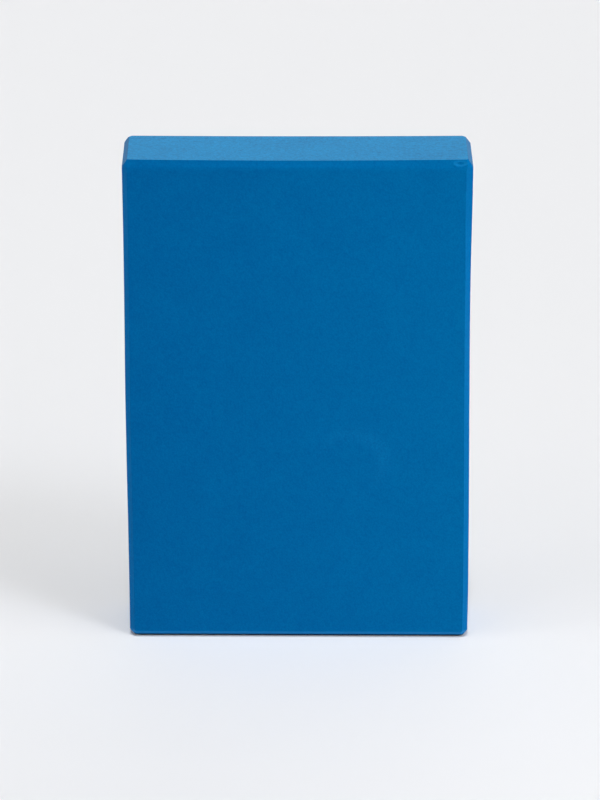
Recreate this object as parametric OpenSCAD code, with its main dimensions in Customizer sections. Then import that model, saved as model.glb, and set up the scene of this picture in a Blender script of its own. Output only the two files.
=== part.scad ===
// Foam yoga block.
// One slab of closed-cell foam, sawn square and then bevelled along all twelve edges.
// Millimetres, +Z up. The block stands on a short end, and its broad faces look along -Y and +Y.
// The origin is the middle of the end that it stands on.

/* [Block] */
// Width across a broad face, along X
block_width = 205; // [150:1:230]
// Thickness between the two broad faces, along Y
block_thickness = 50; // [40:1:80]
// Height from end to end, along Z
block_height = 305; // [240:1:330]

/* [Bevels] */
// Bevel on the four long edges, equally wide on both of the faces that it joins
side_bevel = 3; // [2:0.1:5]
// Bevel round each end, measured across the end face
end_bevel_in = 3; // [2.6:0.1:5]
// Bevel round each end, measured along the faces that run from end to end
end_bevel_along = 4.6; // [3:0.1:7]
// How far each of the eight points is worn back from where its three bevels would meet
point_wear = 0.5; // [0.1:0.1:1]

/* [Nick] */
// Length of the nick in the front bevel of the top end
nick_length = 6.5; // [4:0.5:8]
// Width of the nick, across the bevel
nick_width = 2.6; // [2:0.1:3]
// Depth of the nick at its middle
nick_depth = 0.4; // [0.2:0.1:0.6]
// Distance of the nick's middle from the side of the block
nick_inset = 7.2; // [7:0.1:20]
// Distance of the nick's middle from the end face, down the slope of the bevel
nick_drop = 2.2; // [2:0.1:3]

/* [Hidden] */
foam_blue = "#0b66a6";
$fn = 96;

// Half sizes, from the block's middle
half_width = block_width / 2;
half_thickness = block_thickness / 2;
half_height = block_height / 2;

// An end bevel leans this far from upright
bevel_lean = atan(end_bevel_in / end_bevel_along);

// Where three bevels would meet, measured back from the sawn corner
meeting_side = side_bevel / 2;
meeting_end = end_bevel_along * (1 - meeting_side / end_bevel_in);

// The nick is the mark of a round bar bent to an arc: one radius gives its width, the other its length
nick_bar = nick_width * nick_width / (8 * nick_depth) + nick_depth / 2;
nick_sweep = nick_length * nick_length / (8 * nick_depth) + nick_depth / 2;

// A rectangle about the origin with its four corners cut off
module bevelled_outline(half_x, half_y, cut_x, cut_y) {
    polygon([
        [-half_x, cut_y - half_y],
        [cut_x - half_x, -half_y],
        [half_x - cut_x, -half_y],
        [half_x, cut_y - half_y],
        [half_x, half_y - cut_y],
        [half_x - cut_x, half_y],
        [cut_x - half_x, half_y],
        [-half_x, half_y - cut_y]
    ]);
}

// The block seen from an end: the four long edges are bevelled
module end_profile() {
    linear_extrude(block_height, center = true)
        bevelled_outline(half_width, half_thickness, side_bevel, side_bevel);
}

// The block seen from the front: the side edges of both ends are bevelled
module front_profile() {
    rotate([90, 0, 0])
        linear_extrude(block_thickness, center = true)
            bevelled_outline(half_width, half_height, end_bevel_in, end_bevel_along);
}

// The block seen from a side: the front and back edges of both ends are bevelled
module side_profile() {
    rotate([90, 0, 90])
        linear_extrude(block_width, center = true)
            bevelled_outline(half_thickness, half_height, end_bevel_in, end_bevel_along);
}

// All twelve bevels, which meet in sharp points at the corners
module bevelled_slab() {
    intersection() {
        end_profile();
        front_profile();
        side_profile();
    }
}

// What one corner has lost: everything beyond a small flat that faces straight out of it
module worn_point() {
    flat_size = side_bevel + end_bevel_in + end_bevel_along;
    translate([half_width - meeting_side, half_thickness - meeting_side, half_height - meeting_end])
        rotate([0, atan(sqrt(2)), 45])
            translate([0, 0, flat_size / 2 - point_wear])
                cube(flat_size, center = true);
}

// The same at all eight corners
module worn_points() {
    for (flip_x = [0, 1], flip_y = [0, 1], flip_z = [0, 1])
        mirror([flip_x, 0, 0])
            mirror([0, flip_y, 0])
                mirror([0, 0, flip_z])
                    worn_point();
}

// A shallow oval nick near the right-hand corner of the top end's front bevel
module nick() {
    translate([
        half_width - nick_inset,
        end_bevel_in - half_thickness - nick_drop * sin(bevel_lean),
        half_height - nick_drop * cos(bevel_lean)
    ])
        rotate([-bevel_lean, 0, 0])
            translate([0, nick_depth - nick_sweep, 0])
                rotate_extrude()
                    translate([nick_sweep - nick_bar, 0])
                        circle(nick_bar);
}

module foam_block() {
    color(foam_blue)
        translate([0, 0, half_height])
            difference() {
                bevelled_slab();
                worn_points();
                nick();
            }
}

foam_block();
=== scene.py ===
import math

import bmesh
import bpy
from mathutils import Matrix, Vector, noise


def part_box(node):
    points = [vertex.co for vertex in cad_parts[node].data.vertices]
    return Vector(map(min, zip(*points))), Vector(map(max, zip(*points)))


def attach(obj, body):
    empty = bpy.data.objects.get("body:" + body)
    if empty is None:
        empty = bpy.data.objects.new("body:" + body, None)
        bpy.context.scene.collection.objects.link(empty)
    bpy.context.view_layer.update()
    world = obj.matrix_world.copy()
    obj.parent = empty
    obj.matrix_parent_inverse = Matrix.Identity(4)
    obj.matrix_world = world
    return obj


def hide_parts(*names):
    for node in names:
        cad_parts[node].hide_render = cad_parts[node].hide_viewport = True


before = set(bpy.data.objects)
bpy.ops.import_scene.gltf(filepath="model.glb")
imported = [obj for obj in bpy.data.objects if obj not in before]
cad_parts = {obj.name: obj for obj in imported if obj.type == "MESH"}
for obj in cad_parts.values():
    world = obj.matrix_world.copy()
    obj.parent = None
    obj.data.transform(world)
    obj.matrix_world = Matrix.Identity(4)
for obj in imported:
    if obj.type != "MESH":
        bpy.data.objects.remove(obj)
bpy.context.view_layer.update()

# A foam yoga block, standing on a short end.
# One slab of closed-cell EVA foam, sawn square and bevelled along all twelve edges.
# Lengths are in metres. The broad faces look along -Y (front) and +Y (back).

MM = 0.001

block_low, block_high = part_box("foam_block")
HALF_WIDTH = (block_high.x - block_low.x) / 2
HALF_DEPTH = (block_high.y - block_low.y) / 2
FOOT = block_low.z
TOP = block_high.z

# Bevels: the same reach in from the sides and faces all round, and a longer one along the block
# at its ends.
BEVEL = 3.0 * MM
TOP_BEVEL_DOWN = 4.6 * MM
FOOT_BEVEL_UP = 4.0 * MM

# A foam edge is never quite sharp. The crease below the top end's front bevel is softer, and so
# are the mitres at that bevel's two ends, where the side bevels meet it. An edge is eased where its
# faces turn by more than the sharp angle, in degrees.
SHARP_ANGLE = 12
EDGE_EASE = 0.4 * MM
EDGE_EASE_STEPS = 3
SOFT_CREASE = 1.5 * MM
SOFT_CREASE_STEPS = 6
SOFT_MITRE = 1.2 * MM
SOFT_MITRE_STEPS = 5

# A point this near to a crease is on it, and two points this near to each other are joined.
ON_CREASE = 0.01 * MM
CLOSE_POINTS = 0.02 * MM

# How much the large faces' shading outweighs that of the narrow ones beside them. 50 is evenly.
FLAT_SHADING = 80

# How far each point, where three bevels meet, is worn off, by which side (-1 left), face
# (-1 front) and end (-1 foot) it is on.
POINT_WEAR = {
    (-1, -1, 1): 0.6 * MM,
    (1, -1, 1): 0.7 * MM,
    (-1, 1, 1): 0.6 * MM,
    (1, 1, 1): 0.6 * MM,
    (-1, -1, -1): 1.4 * MM,
    (1, -1, -1): 1.3 * MM,
    (-1, 1, -1): 1.0 * MM,
    (1, 1, -1): 1.0 * MM,
}

# How far each corner of the end faces is rubbed down, and how steeply.
CORNER_RUB = {
    (-1, 1, 1): (0.75 * MM, 1.6),
    (1, 1, 1): (1.8 * MM, 0.8),
    (1, -1, 1): (0.8 * MM, 0.8),
    (-1, -1, -1): (0.8 * MM, 2.0),
    (1, -1, -1): (0.85 * MM, 2.0),
    (-1, 1, -1): (0.7 * MM, 2.0),
    (1, 1, -1): (0.7 * MM, 2.0),
}

# Cuts across, through and up the block, in millimetres, so that its faces can be shaped. They are
# finer near its edges, at the foot's rim and at the nick.
CUTS_BY_SIDES = [side * cut for cut in (98.6, 97.6, 96.3, 94.8) for side in (-1, 1)]
CUTS_ACROSS_NICK = [90.8 + 0.5 * step for step in range(22)]
CUTS_ACROSS = CUTS_BY_SIDES + list(range(-90, 91, 6)) + CUTS_ACROSS_NICK
CUTS_THROUGH = [-21, -20, -18.5, -17, -12, -6, 0, 6, 12, 17, 18.5, 20, 21]
CUTS_UP_NICK = [300.8 + 0.36 * step for step in range(11)]
CUTS_UP = [1, 2, 3] + list(range(5, 300, 6)) + [299.2, 300.2] + CUTS_UP_NICK

# The nick in the front bevel of the top end, near the right corner. Its flat bottom and its lip are
# placed by their share of the way from its middle to its edge.
NICK_X = HALF_WIDTH - 7.2 * MM
NICK_Z = TOP - 2.0 * MM
NICK_LENGTH = 7.2 * MM
NICK_WIDTH = 2.8 * MM
NICK_DEPTH = 0.55 * MM
NICK_BOTTOM = 0.35
NICK_LIP = 0.2 * MM
NICK_LIP_PLACE = 1.15
NICK_LIP_SPREAD = 0.22

# Marks drawn in the ends' paler blue: a ring round the nick, partly its torn cells and partly a
# painted highlight on its rim, and a rubbed crescent. Each is an oval less a hollow one: the middle
# of each and its half-size in millimetres, and how much of the paler blue shows. An oval's edge
# fades between two shares of its half-size.
NICK_RIM = (NICK_X + 0.2 * MM, -HALF_DEPTH + 1.5 * MM, NICK_Z - 0.1 * MM)
RUBBED_CRESCENT = (34 * MM, -HALF_DEPTH, 117 * MM)
CRESCENT_HOLLOW = (30 * MM, -HALF_DEPTH, 112 * MM)
PALE_MARKS = (
    (NICK_RIM, (4.1, 10, 1.5), NICK_RIM, (1.9, 10, 0.7), 0.26),
    (RUBBED_CRESCENT, (21, 10, 20), CRESCENT_HOLLOW, (18, 10, 18), 0.06),
)
MARK_FADE_START = 1.2
MARK_FADE_END = 0.8

# The saw's slight wander: how far the sides and the top end stray from a true plane. The sides
# draw in at a waist above the middle, and the right one at the foot too.
WAIST = 0.47 * MM
WAIST_HEIGHT = 223 * MM
WAIST_SPREAD = 60 * MM
FOOT_DRAW = 0.2 * MM
FOOT_DRAW_TOP = 30 * MM

# The whole block has one slow wave of this length, and is a little out of square.
BEND = 0.27 * MM
BEND_START = 32 * MM
BEND_LENGTH = 300 * MM
SKEW = 0.35 * MM

# The top end sags between its corners, and falls away a little to the left.
TOP_SAG_FRONT = 0.76 * MM
TOP_SAG_BACK = 0.36 * MM
TOP_TILT = 0.15 * MM

# The broad faces and sides ripple, from just above the foot. The power keeps the ripple of each
# face off the others.
RIPPLE = 0.07 * MM
RIPPLE_SIZE = 38 * MM
RIPPLE_SEED = 3.7
RIPPLE_START = 20 * MM
RIPPLE_POWER = 7

# The front bevel of the top end comes a little low on the broad face.
LOW_CUT = 0.6 * MM
LOW_CUT_REACH = 20 * MM

# The right front bevel was cut a little wide, and wider still towards the top.
WIDE_CUT = 0.22 * MM
WIDE_CUT_TOP = 0.9 * MM
WIDE_CUT_START = 225 * MM
WIDE_CUT_FULL = 280 * MM
WIDE_CUT_REACH = 15 * MM

# The front bevel of the top end: the way out of it, and the way up it.
OUT_OF_BEVEL = Vector((0, -TOP_BEVEL_DOWN, BEVEL)).normalized()
UP_BEVEL = Vector((0, BEVEL, TOP_BEVEL_DOWN)).normalized()

# The foam's blues: its skived faces and sides; its bevels, painted a shade paler for the extra
# light they catch; and its sawn ends, painted paler still for the stronger light and the pale sheen
# on the top end; each where the dye is light and where it is dark; and the foot's bevels, painted
# paler for the light that the floor throws up onto them.
SKIVED_LIGHT = "#005f94"
SKIVED_DARK = "#005087"
PAINTED_LIT_BEVEL_PALE = "#0065a0"
PAINTED_LIT_BEVEL_DEEP = "#00568e"
PAINTED_LIT_END_PALE = "#1c97d3"
PAINTED_LIT_END_DEEP = "#1c6da3"
PAINTED_FLOOR_BOUNCE = "#0078ba"

# Painted contact shadow: a near-black round the rim of the foot, where it meets the floor.
PAINTED_CONTACT_SHADE = "#000a24"

# The tint of the light that glances off the foam, and off the nap of its cell walls.
FOAM_GLOSS_TINT = "#0080ff"
FOAM_SHEEN_TINT = "#bcf1ff"

# The studio's whites. The key lamp is a little bluish, and the one overhead very slightly warm.
PAPER_WHITE = "#eeeef0"
ROOM_WHITE = "#fbfcff"
LAMP_WHITE = "#ffffff"
LAMP_BLUISH = "#f2f6ff"
LAMP_WARMISH = "#fffffb"

# Foam cells are 0.2 to 0.5 mm across, too fine to show, so the grain is drawn at 1.1 mm, with
# a coarser one for the cells that grew together, and slow clouds in the dye.
FOAM_CELL = 1.1 * MM
FOAM_CLUSTER = 2.6 * MM
FOAM_CLOUD = 22 * MM
FOAM_GRAIN_DEPTH = 0.12 * MM
FOAM_GRAIN_STRENGTH = 0.42

# How dark the dye starts, how much darker each of those makes it, and how much lighter it is
# painted from the middle of the block to its right side, as painted light from the key lamp there.
DYE_START = -0.35
CELL_SHARE = 0.6
CLUSTER_SHARE = 0.75
CLOUD_SHARE = 0.45
PAINTED_SIDE_LIGHT_DRIFT = 0.22

# EVA foam is matt. Its open cells hide most of the gloss of the plastic, whose IOR is 1.48, and
# give it a nap.
FOAM_ROUGHNESS = 0.7
FOAM_IOR = 1.48
FOAM_GLOSS = 0.08
FOAM_NAP = 0.34
FOAM_NAP_ROUGHNESS = 0.29

# A face is a bevel or an end by how squarely it looks along an axis: 1 is straight along it.
BEVEL_STARTS_BELOW = 0.9
BEVEL_FULL_BELOW = 0.72
END_STARTS_ABOVE = 0.9
END_FULL_ABOVE = 0.99

# The foot's bevels are painted a little pale, for the light that the floor throws up onto them, and
# their rim near-black, a painted contact shadow where it meets the floor: the height where each
# starts, the height where it is full, and how much of the paler band shows.
PAINTED_FLOOR_BOUNCE_START = 4.6 * MM
PAINTED_FLOOR_BOUNCE_FULL = 3.6 * MM
PAINTED_FLOOR_BOUNCE_SHARE = 0.45
PAINTED_CONTACT_SHADE_START = 2.1 * MM
PAINTED_CONTACT_SHADE_FULL = 0.9 * MM

# Background paper, whose fibres give it a tooth of so many bumps a metre.
PAPER_TOOTH = 900.0
PAPER_TOOTH_DEPTH = 0.2 * MM
PAPER_TOOTH_STRENGTH = 0.02
PAPER_ROUGHNESS = 0.9
PAPER_GLOSS = 0.05

# The camera: sensor and lens in millimetres, place, what it turns and tilts by in degrees, and how
# near and far it sees.
SENSOR = 36.0
LENS = 198.308
CAMERA_PLACE = Vector((33.31 * MM, -2455.5 * MM, 1127.0 * MM))
CAMERA_DOWN = 21.7908
CAMERA_TURN = 0.7455
CAMERA_ROLL = -0.1386
CLIP_START = 0.1
CLIP_END = 60.0

# The studio: large soft boxes far off, a small one close by, and a dim room whose white walls
# stand low all round.
FLOOR_RADIUS = 9.0
ROOM_LIGHT = 0.22
WALL_LIGHT = 0.84
WALL_TOP = 0.13
WALL_FADE = 0.26

# Each far one: name, azimuth from the front towards +X, elevation, the angle it fills, all in
# degrees, strength, colour. Its light falls the same from any distance.
FAR_BOX_DISTANCE = 3.0
FAR_BOXES = (
    ("overhead", 0, 78, 2.5, 1.487, LAMP_WARMISH),
    ("low_front", 15, 8, 22, 0.142, LAMP_WHITE),
    ("key_right", 52, 42, 17, 0.63, LAMP_BLUISH),
    ("fill_left", -45, 42, 22, 0.144, LAMP_WHITE),
    ("wall_right", 75, 8, 22, 1.3, LAMP_WHITE),
    ("wall_left", -75, 8, 22, 1.04, LAMP_WHITE),
    ("back_right", 150, 30, 40, 0.124, LAMP_WHITE),
    ("back", 180, 12, 30, 0.32, LAMP_WHITE),
)

# The close one, whose grid keeps its light off the floor below it: name, azimuth, elevation,
# distance and size in metres, spread in degrees, power in watts, colour.
NEAR_BOX = ("near_front", 40, 10, 0.9, 0.4, 70, 0.29, LAMP_WHITE)


# ---------------------------------------------------------------- small helpers


def only(obj):
    """Makes one object the selected and active one."""
    bpy.ops.object.select_all(action="DESELECT")
    obj.select_set(True)
    bpy.context.view_layer.objects.active = obj


def edit(mode):
    """Opens the active object for editing by VERT, EDGE or FACE, with nothing selected."""
    bpy.ops.object.mode_set(mode="EDIT")
    bpy.ops.mesh.select_mode(type=mode)
    bpy.ops.mesh.select_all(action="DESELECT")


def leave_edit():
    """Closes the active object."""
    bpy.ops.object.mode_set(mode="OBJECT")


def select_vertices(slab, wanted):
    """Selects each vertex that wanted(place) is true for."""
    edit("VERT")
    mesh = bmesh.from_edit_mesh(slab.data)
    for vertex in mesh.verts:
        vertex.select = wanted(vertex.co)
    mesh.select_flush_mode()
    bmesh.update_edit_mesh(slab.data)


def select_edges(slab, wanted):
    """Selects each edge that wanted(start, end) is true for."""
    edit("EDGE")
    mesh = bmesh.from_edit_mesh(slab.data)
    for edge in mesh.edges:
        edge.select = wanted(edge.verts[0].co, edge.verts[1].co)
    mesh.select_flush_mode()
    bmesh.update_edit_mesh(slab.data)


def smooth_step(low, high, value):
    """A smooth rise from 0 at low to 1 at high."""
    share = min(1.0, max(0.0, (value - low) / (high - low)))
    return share * share * (3 - 2 * share)


def bell(value, centre, spread):
    """A smooth hump, 1 at its centre."""
    return math.exp(-(((value - centre) / spread) ** 2))


# ---------------------------------------------------------------- the block's shape


def sawn_slab():
    """A cube at the bevels' middle lines, its faces inset and raised to the block's full size."""
    half_bevel = BEVEL / 2
    foot_line = FOOT + FOOT_BEVEL_UP / 2
    top_line = TOP - TOP_BEVEL_DOWN / 2
    bpy.ops.object.select_all(action="DESELECT")
    bpy.ops.mesh.primitive_cube_add(
        size=1,
        location=(0, 0, (foot_line + top_line) / 2),
        scale=(
            2 * (HALF_WIDTH - half_bevel),
            2 * (HALF_DEPTH - half_bevel),
            top_line - foot_line,
        ),
    )
    slab = bpy.context.object
    slab.name = "yoga_block"
    slab.data.name = "yoga_block"
    bpy.ops.object.transform_apply(location=True, rotation=True, scale=True)
    edit("FACE")
    bpy.ops.mesh.select_all(action="SELECT")
    bpy.ops.mesh.inset(
        thickness=half_bevel, depth=half_bevel, use_individual=True, use_even_offset=True
    )
    leave_edit()
    # The two ends' bevels are drawn out to their reach. Their points lie half a bevel from a line.
    near_line = 1.1 * half_bevel
    for line, reach in ((foot_line, FOOT_BEVEL_UP), (top_line, TOP_BEVEL_DOWN)):
        select_vertices(slab, lambda place: abs(place.z - line) < near_line)
        bpy.ops.transform.resize(
            value=(1, 1, reach / BEVEL), center_override=(0, 0, line)
        )
        leave_edit()
    return slab


def cut_across(normal, places):
    """Cuts right round the block at each place along a direction, given in millimetres."""
    edit("FACE")
    for place in places:
        bpy.ops.mesh.select_all(action="SELECT")
        bpy.ops.mesh.bisect(
            plane_co=[place * MM * part for part in normal], plane_no=normal
        )
    leave_edit()


def join_close_points():
    """Joins the points that two cuts have left almost on each other."""
    edit("VERT")
    bpy.ops.mesh.select_all(action="SELECT")
    bpy.ops.mesh.dissolve_degenerate(threshold=CLOSE_POINTS)
    leave_edit()


def cut_off(place, outward):
    """Takes off all that is beyond a plane, and closes the cut."""
    bpy.ops.mesh.select_all(action="SELECT")
    bpy.ops.mesh.bisect(
        plane_co=place, plane_no=outward, use_fill=True, clear_outer=True
    )


def wear_points():
    """Takes the tip off each point, where three bevels meet."""
    edit("FACE")
    for (side, face, end), wear in POINT_WEAR.items():
        reach = FOOT_BEVEL_UP if end < 0 else TOP_BEVEL_DOWN
        tip = Vector(
            (
                side * (HALF_WIDTH - BEVEL / 2),
                face * (HALF_DEPTH - BEVEL / 2),
                (FOOT + reach / 2) if end < 0 else (TOP - reach / 2),
            )
        )
        outward = Vector((side, face, end * BEVEL / reach)).normalized()
        cut_off(tip - wear * outward, outward)
    leave_edit()


def rub_corners():
    """Rubs down the corners of the two end faces."""
    edit("FACE")
    for (side, face, end), (rub, slope) in CORNER_RUB.items():
        corner = Vector(
            (
                side * (HALF_WIDTH - BEVEL),
                face * (HALF_DEPTH - BEVEL),
                (FOOT + rub) if end < 0 else (TOP - rub),
            )
        )
        outward = Vector((side, face, end * slope * math.sqrt(2))).normalized()
        cut_off(corner, outward)
    leave_edit()


def on_front_crease(place):
    """Whether a point is where the top end's front bevel meets the broad face."""
    return (
        abs(place.y + HALF_DEPTH) < ON_CREASE
        and abs(place.z - (TOP - TOP_BEVEL_DOWN)) < ON_CREASE
    )


def on_side_mitre(place):
    """Whether a point is where a side's front bevel meets that side's bevel at the top end."""
    from_side = HALF_WIDTH - abs(place.x)
    on_long_bevel = abs(from_side + (HALF_DEPTH + place.y) - BEVEL) < ON_CREASE
    down = (1 - from_side / BEVEL) * TOP_BEVEL_DOWN
    return on_long_bevel and abs((TOP - place.z) - down) < ON_CREASE


def ease_edges(slab):
    """Rounds the softer creases, then every other one a little, as a foam edge is."""
    for wanted, reach, steps in (
        (on_front_crease, SOFT_CREASE, SOFT_CREASE_STEPS),
        (on_side_mitre, SOFT_MITRE, SOFT_MITRE_STEPS),
    ):
        select_edges(slab, lambda start, end: wanted(start) and wanted(end))
        bpy.ops.mesh.bevel(
            offset=reach,
            offset_type="OFFSET",
            segments=steps,
            profile=0.5,
            affect="EDGES",
        )
        leave_edit()
    edit("EDGE")
    bpy.ops.mesh.edges_select_sharp(sharpness=math.radians(SHARP_ANGLE))
    bpy.ops.mesh.bevel(
        offset=EDGE_EASE,
        offset_type="OFFSET",
        segments=EDGE_EASE_STEPS,
        profile=0.5,
        affect="EDGES",
        loop_slide=True,
        clamp_overlap=True,
    )
    leave_edit()


def nick_push(place):
    """How far the nick takes a point of the front bevel inwards; its rim stands a little proud."""
    along = (place.x - NICK_X) / (NICK_LENGTH / 2)
    line_y = -HALF_DEPTH + BEVEL * (NICK_Z - (TOP - TOP_BEVEL_DOWN)) / TOP_BEVEL_DOWN
    rise = (place.y - line_y) * UP_BEVEL.y + (place.z - NICK_Z) * UP_BEVEL.z
    off = (place.y - line_y) * OUT_OF_BEVEL.y + (place.z - NICK_Z) * OUT_OF_BEVEL.z
    if abs(off) > NICK_WIDTH / 2:
        return 0.0
    ring = math.hypot(along, rise / (NICK_WIDTH / 2))
    pit = (1 - smooth_step(NICK_BOTTOM, 1.0, ring)) * NICK_DEPTH
    lip = bell(ring, NICK_LIP_PLACE, NICK_LIP_SPREAD) * NICK_LIP
    return pit - lip


def forward(place):
    """How near a point on a front bevel is to the broad face, from 0 to 1."""
    return max(0.0, 1 - (place.y + HALF_DEPTH) / BEVEL)


def wide_cut(place):
    """How far the right front bevel's crease on the broad face lies in from its usual line."""
    reach = WIDE_CUT + WIDE_CUT_TOP * smooth_step(WIDE_CUT_START, WIDE_CUT_FULL, place.z)
    beside = smooth_step(HALF_WIDTH - WIDE_CUT_REACH, HALF_WIDTH - BEVEL, place.x)
    return reach * forward(place) * beside


def low_cut(place):
    """How far the crease below the top end's front bevel lies down from its usual line."""
    below = smooth_step(TOP - LOW_CUT_REACH, TOP - TOP_BEVEL_DOWN, place.z)
    return LOW_CUT * forward(place) * below


def wander(place, seed, size):
    """A slow rise and fall from -1 to 1, the same each time."""
    return noise.noise(place / size + Vector((seed, seed, seed)))


def shape_by_hand(slab):
    """Moves the skin as the saw's wander and the nick do, and leaves the foot's middle flat."""
    for vertex in slab.data.vertices:
        place = vertex.co.copy()
        across = place.x / HALF_WIDTH
        through = place.y / HALF_DEPTH
        # The block bends slowly and is out of square, and its sides draw in above the middle and
        # at the foot.
        shift = BEND * math.cos(2 * math.pi * (place.z - BEND_START) / BEND_LENGTH)
        shift -= across * WAIST * bell(place.z, WAIST_HEIGHT, WAIST_SPREAD)
        shift -= through * SKEW
        shift -= max(across, 0.0) * FOOT_DRAW * (1 - smooth_step(FOOT, FOOT_DRAW_TOP, place.z))
        shift -= wide_cut(place)
        # The top end sags between its corners, more at the front, and tilts a little.
        near_top = smooth_step(TOP - TOP_BEVEL_DOWN, TOP, place.z)
        sag = TOP_SAG_FRONT + (TOP_SAG_BACK - TOP_SAG_FRONT) * (through + 1) / 2
        sag = near_top * (sag * (1 - across * across) - TOP_TILT * (across - 1))
        # The broad faces and sides are not quite true.
        off_foot = smooth_step(FOOT, FOOT + RIPPLE_START, place.z)
        ripple = RIPPLE * off_foot * wander(place, RIPPLE_SEED, RIPPLE_SIZE)
        push = nick_push(place)
        vertex.co += Vector((shift, 0, -low_cut(place) - sag))
        vertex.co += ripple * Vector((across ** RIPPLE_POWER, through ** RIPPLE_POWER, 0))
        vertex.co -= push * OUT_OF_BEVEL


def yoga_block():
    """The block: sawn, worn and eased, then cut finely enough to be shaped by hand."""
    slab = sawn_slab()
    wear_points()
    rub_corners()
    ease_edges(slab)
    cut_across((1, 0, 0), CUTS_ACROSS)
    cut_across((0, 1, 0), CUTS_THROUGH)
    cut_across((0, 0, 1), CUTS_UP)
    join_close_points()
    shape_by_hand(slab)
    only(slab)
    bpy.ops.object.shade_smooth()
    bpy.ops.object.modifier_add(type="WEIGHTED_NORMAL")
    slab.modifiers[-1].keep_sharp = False
    slab.modifiers[-1].weight = FLAT_SHADING
    bpy.ops.object.modifier_apply(modifier=slab.modifiers[-1].name)
    return slab


# ---------------------------------------------------------------- materials


def from_hex(colour):
    """An sRGB hex colour as Blender's linear red, green, blue and alpha."""
    parts = [int(colour[place : place + 2], 16) / 255 for place in (1, 3, 5)]
    linear = [
        part / 12.92 if part <= 0.04045 else ((part + 0.055) / 1.055) ** 2.4
        for part in parts
    ]
    return (*linear, 1.0)


def socket_of(sockets, name):
    """A node's socket by name or number; of several with one name, the one in use."""
    if isinstance(name, int):
        return sockets[name]
    return next(each for each in sockets if each.name == name and each.enabled)


def add_node(tree, kind, settings=(), links=()):
    """Adds a node, with its properties or inputs set and its inputs linked."""
    made = tree.nodes.new(kind)
    for name, value in dict(settings).items():
        if isinstance(name, str) and hasattr(made, name):
            setattr(made, name, value)
        else:
            socket_of(made.inputs, name).default_value = value
    for name, source in dict(links).items():
        tree.links.new(source, socket_of(made.inputs, name))
    return made


def new_material(name):
    """An empty material and its node tree."""
    made = bpy.data.materials.new(name)
    made.use_nodes = True
    made.node_tree.nodes.clear()
    return made, made.node_tree


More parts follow.
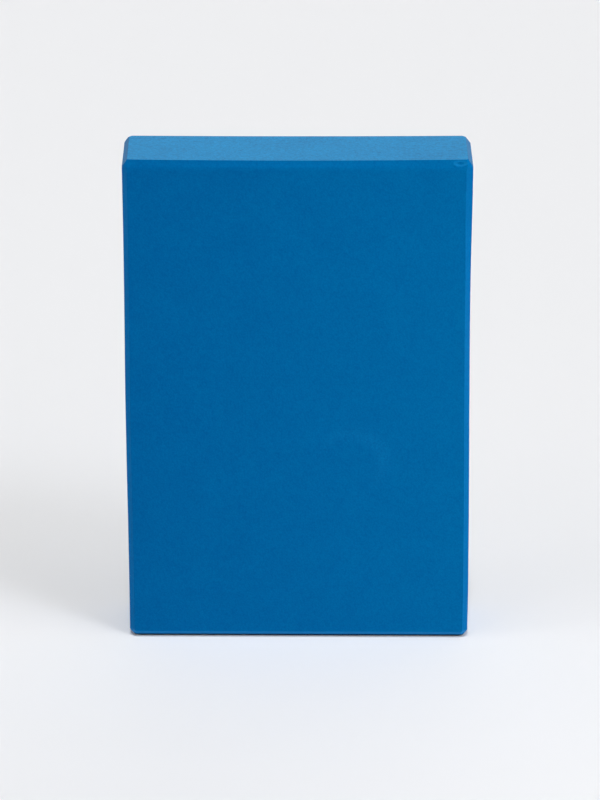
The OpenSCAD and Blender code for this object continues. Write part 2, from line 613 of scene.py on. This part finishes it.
def sawn_eva_foam():
    """EVA foam, closed-cell and dyed through: skived broad faces, cut bevels, sawn ends.

    The blade opens a layer of cells, so each face is matt and finely grained. The bevels are
    painted a shade paler, for the extra light they catch, and the ends paler still, for the
    stronger light and the pale sheen on the top end. Thin cell walls stand up from the face like a
    nap, so it pales where the eye skims along it.
    """
    made, tree = new_material("sawn_eva_foam")
    place = add_node(tree, "ShaderNodeTexCoord").outputs["Object"]
    cells = add_node(
        tree,
        "ShaderNodeTexVoronoi",
        {"feature": "SMOOTH_F1", "Scale": 1 / FOAM_CELL, "Smoothness": 0.4},
        {"Vector": place},
    ).outputs["Distance"]
    clusters = add_node(
        tree,
        "ShaderNodeTexNoise",
        {"Scale": 1 / FOAM_CLUSTER, "Detail": 2.0, "Roughness": 0.5},
        {"Vector": place},
    ).outputs["Fac"]
    clouds = add_node(
        tree,
        "ShaderNodeTexNoise",
        {"Scale": 1 / FOAM_CLOUD, "Detail": 4.0, "Roughness": 0.55},
        {"Vector": place},
    ).outputs["Fac"]
    across = add_node(tree, "ShaderNodeSeparateXYZ", (), {"Vector": place}).outputs["X"]
    height = add_node(tree, "ShaderNodeSeparateXYZ", (), {"Vector": place}).outputs["Z"]

    # How dark the dye is, from 0 to 1.
    tone = add_node(
        tree,
        "ShaderNodeMath",
        {"operation": "MULTIPLY_ADD", 1: CELL_SHARE, 2: DYE_START},
        {0: cells},
    ).outputs["Value"]
    tones = [tone]
    for pattern, share in (
        (clusters, CLUSTER_SHARE),
        (clouds, CLOUD_SHARE),
        (across, -PAINTED_SIDE_LIGHT_DRIFT / HALF_WIDTH),
    ):
        tone = add_node(
            tree,
            "ShaderNodeMath",
            {"operation": "MULTIPLY_ADD", 1: share},
            {0: pattern, 2: tones[-1]},
        ).outputs["Value"]
        tones.append(tone)
    # The ends take the even tone. The faces and bevels take the last one, painted lighter to the
    # right for the key lamp.
    even, tone_with_painted_side_light = tones[-2:]
    blues = []
    for light, dark, tone in (
        (SKIVED_LIGHT, SKIVED_DARK, tone_with_painted_side_light),
        (PAINTED_LIT_BEVEL_PALE, PAINTED_LIT_BEVEL_DEEP, tone_with_painted_side_light),
        (PAINTED_LIT_END_PALE, PAINTED_LIT_END_DEEP, even),
    ):
        blend = add_node(
            tree,
            "ShaderNodeMix",
            {"data_type": "RGBA", "A": from_hex(light), "B": from_hex(dark)},
            {"Factor": tone},
        )
        blues.append(socket_of(blend.outputs, "Result"))
    skived, painted_lit_bevel, painted_lit_end = blues

    # Which cut each point is on, from the way it faces: bevels look along none of the axes.
    facing = add_node(tree, "ShaderNodeNewGeometry").outputs["Normal"]
    facing = add_node(
        tree, "ShaderNodeVectorMath", {"operation": "ABSOLUTE"}, {0: facing}
    ).outputs["Vector"]
    facing = add_node(tree, "ShaderNodeSeparateXYZ", (), {"Vector": facing}).outputs
    squareness = facing["Z"]
    for side in (facing["X"], facing["Y"]):
        squareness = add_node(
            tree, "ShaderNodeMath", {"operation": "MAXIMUM"}, {0: squareness, 1: side}
        ).outputs["Value"]

    # Each cut or mark covers those before it. Its colour is either even or patterned.
    blue = skived
    painted_floor_bounce = {"B": from_hex(PAINTED_FLOOR_BOUNCE)}
    painted_contact_shade = {"B": from_hex(PAINTED_CONTACT_SHADE)}
    for value, start, full, most, even_colour, pattern in (
        # Painted light: the bevels a shade paler, for the extra light they catch.
        (squareness, BEVEL_STARTS_BELOW, BEVEL_FULL_BELOW, 1.0, {}, {"B": painted_lit_bevel}),
        # Painted light: the foot's bevels paler, for the light that the floor throws up onto them.
        (height, PAINTED_FLOOR_BOUNCE_START, PAINTED_FLOOR_BOUNCE_FULL, PAINTED_FLOOR_BOUNCE_SHARE, painted_floor_bounce, {}),
        # Painted contact shadow: the foot's rim near-black where it meets the floor.
        (height, PAINTED_CONTACT_SHADE_START, PAINTED_CONTACT_SHADE_FULL, 1.0, painted_contact_shade, {}),
        # Painted light: the ends paler, for the stronger light and the pale sheen on the top end.
        (facing["Z"], END_STARTS_ABOVE, END_FULL_ABOVE, 1.0, {}, {"B": painted_lit_end}),
    ):
        share = add_node(
            tree,
            "ShaderNodeMapRange",
            {
                "interpolation_type": "SMOOTHSTEP",
                "From Min": start,
                "From Max": full,
                "To Max": most,
            },
            {"Value": value},
        ).outputs["Result"]
        blend = add_node(
            tree,
            "ShaderNodeMix",
            {"data_type": "RGBA", **even_colour},
            {"Factor": share, "A": blue, **pattern},
        )
        blue = socket_of(blend.outputs, "Result")

    # The torn and rubbed marks.
    for middle, half_size, hollow_middle, hollow_half_size, most in PALE_MARKS:
        ovals = []
        for centre, reach in ((middle, half_size), (hollow_middle, hollow_half_size)):
            away = add_node(
                tree,
                "ShaderNodeMapping",
                {
                    "vector_type": "TEXTURE",
                    "Location": centre,
                    "Scale": [part * MM for part in reach],
                },
                {"Vector": place},
            ).outputs["Vector"]
            away = add_node(
                tree, "ShaderNodeVectorMath", {"operation": "LENGTH"}, {0: away}
            ).outputs["Value"]
            oval = add_node(
                tree,
                "ShaderNodeMapRange",
                {
                    "interpolation_type": "SMOOTHSTEP",
                    "From Min": MARK_FADE_START,
                    "From Max": MARK_FADE_END,
                    "To Max": most,
                },
                {"Value": away},
            ).outputs["Result"]
            ovals.append(oval)
        mark = add_node(
            tree,
            "ShaderNodeMath",
            {"operation": "SUBTRACT", "use_clamp": True},
            {0: ovals[0], 1: ovals[1]},
        ).outputs["Value"]
        blend = add_node(
            tree,
            "ShaderNodeMix",
            {"data_type": "RGBA"},
            {"Factor": mark, "A": blue, "B": painted_lit_end},
        )
        blue = socket_of(blend.outputs, "Result")

    relief = add_node(
        tree, "ShaderNodeMath", {"operation": "SUBTRACT"}, {0: clusters, 1: cells}
    ).outputs["Value"]
    grain = add_node(
        tree,
        "ShaderNodeBump",
        {"Strength": FOAM_GRAIN_STRENGTH, "Distance": FOAM_GRAIN_DEPTH},
        {"Height": relief},
    )
    foam = add_node(
        tree,
        "ShaderNodeBsdfPrincipled",
        {
            "Roughness": FOAM_ROUGHNESS,
            "IOR": FOAM_IOR,
            "Specular IOR Level": FOAM_GLOSS,
            "Specular Tint": from_hex(FOAM_GLOSS_TINT),
            "Sheen Weight": FOAM_NAP,
            "Sheen Roughness": FOAM_NAP_ROUGHNESS,
            "Sheen Tint": from_hex(FOAM_SHEEN_TINT),
        },
        {"Base Color": blue, "Normal": grain.outputs["Normal"]},
    )
    add_node(tree, "ShaderNodeOutputMaterial", (), {"Surface": foam.outputs["BSDF"]})
    return made


def studio_paper():
    """Background paper, pressed and uncoated: matt, white, with a tooth that hardly shows."""
    made, tree = new_material("studio_paper")
    place = add_node(tree, "ShaderNodeTexCoord").outputs["Object"]
    tooth = add_node(
        tree, "ShaderNodeTexNoise", {"Scale": PAPER_TOOTH, "Detail": 2.0}, {"Vector": place}
    )
    relief = add_node(
        tree,
        "ShaderNodeBump",
        {"Strength": PAPER_TOOTH_STRENGTH, "Distance": PAPER_TOOTH_DEPTH},
        {"Height": tooth.outputs["Fac"]},
    )
    paper = add_node(
        tree,
        "ShaderNodeBsdfPrincipled",
        {
            "Base Color": from_hex(PAPER_WHITE),
            "Roughness": PAPER_ROUGHNESS,
            "Specular IOR Level": PAPER_GLOSS,
        },
        {"Normal": relief.outputs["Normal"]},
    )
    add_node(tree, "ShaderNodeOutputMaterial", (), {"Surface": paper.outputs["BSDF"]})
    return made


# ---------------------------------------------------------------- studio


def studio_floor():
    """A wide sheet of paper, whose far edge matches the walls."""
    bpy.ops.object.select_all(action="DESELECT")
    bpy.ops.mesh.primitive_circle_add(
        vertices=128, radius=FLOOR_RADIUS, fill_type="NGON", location=(0, 0, FOOT)
    )
    floor = bpy.context.object
    floor.name = "studio_floor"
    bpy.ops.object.transform_apply(location=True, rotation=True, scale=True)
    only(floor)
    bpy.ops.object.shade_smooth()
    floor.data.materials.append(studio_paper())


def towards(azimuth, elevation):
    """The way to a lamp; azimuth runs from the front to +X."""
    turn = math.radians(azimuth)
    lift = math.radians(elevation)
    return Vector(
        (math.sin(turn) * math.cos(lift), -math.cos(turn) * math.cos(lift), math.sin(lift))
    )


def hang(name, lamp, place, way):
    """Puts a lamp up, with its back towards a way."""
    box = bpy.data.objects.new(name, lamp)
    bpy.context.collection.objects.link(box)
    box.location = place
    box.rotation_euler = (-way).to_track_quat("-Z", "Y").to_euler()
    box.visible_camera = False


def far_box(name, azimuth, elevation, angle, strength, colour):
    """A large soft box so far off that its light falls evenly."""
    way = towards(azimuth, elevation)
    lamp = bpy.data.lights.new(name, "SUN")
    lamp.angle = math.radians(angle)
    lamp.energy = strength
    lamp.color = from_hex(colour)[:3]
    hang(name, lamp, FAR_BOX_DISTANCE * way, way)


def near_box(name, azimuth, elevation, distance, size, spread, power, colour):
    """A small soft box close to the block."""
    way = towards(azimuth, elevation)
    lamp = bpy.data.lights.new(name, "AREA")
    lamp.shape = "SQUARE"
    lamp.size = size
    lamp.spread = math.radians(spread)
    lamp.energy = power
    lamp.color = from_hex(colour)[:3]
    hang(name, lamp, Vector((0, 0, (TOP + FOOT) / 2)) + distance * way, way)


def white_room():
    """A dim room with white walls that stand low all round."""
    world = bpy.data.worlds.new("white_room")
    world.use_nodes = True
    tree = world.node_tree
    tree.nodes.clear()
    way = add_node(tree, "ShaderNodeTexCoord").outputs["Generated"]
    height = add_node(tree, "ShaderNodeSeparateXYZ", (), {"Vector": way}).outputs["Z"]
    light = add_node(
        tree,
        "ShaderNodeMapRange",
        {
            "interpolation_type": "SMOOTHSTEP",
            "From Min": WALL_TOP,
            "From Max": WALL_FADE,
            "To Min": WALL_LIGHT,
            "To Max": ROOM_LIGHT,
        },
        {"Value": height},
    )
    glow = add_node(
        tree,
        "ShaderNodeBackground",
        {"Color": from_hex(ROOM_WHITE)},
        {"Strength": light.outputs["Result"]},
    )
    add_node(tree, "ShaderNodeOutputWorld", (), {"Surface": glow.outputs["Background"]})
    bpy.context.scene.world = world


def eye():
    """The camera: a long lens, well back and above, that looks down at the block's front."""
    lens = bpy.data.cameras.new("camera")
    lens.sensor_fit = "AUTO"
    lens.sensor_width = SENSOR
    lens.lens = LENS
    lens.clip_start = CLIP_START
    lens.clip_end = CLIP_END
    camera = bpy.data.objects.new("camera", lens)
    bpy.context.collection.objects.link(camera)
    turn = Matrix.Rotation(math.radians(CAMERA_TURN), 4, "Z")
    tilt = Matrix.Rotation(math.radians(90 - CAMERA_DOWN), 4, "X")
    roll = Matrix.Rotation(math.radians(CAMERA_ROLL), 4, "Z")
    camera.matrix_world = Matrix.Translation(CAMERA_PLACE) @ turn @ tilt @ roll
    bpy.context.scene.camera = camera


# ---------------------------------------------------------------- the scene

eye()
block = yoga_block()
block.data.materials.append(sawn_eva_foam())
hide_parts("foam_block")
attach(block, "root")

studio_floor()
white_room()
for box in FAR_BOXES:
    far_box(*box)
near_box(*NEAR_BOX)

look = bpy.context.scene.view_settings
look.view_transform = "Standard"
look.look = "None"
look.exposure = 0.0
look.gamma = 1.0
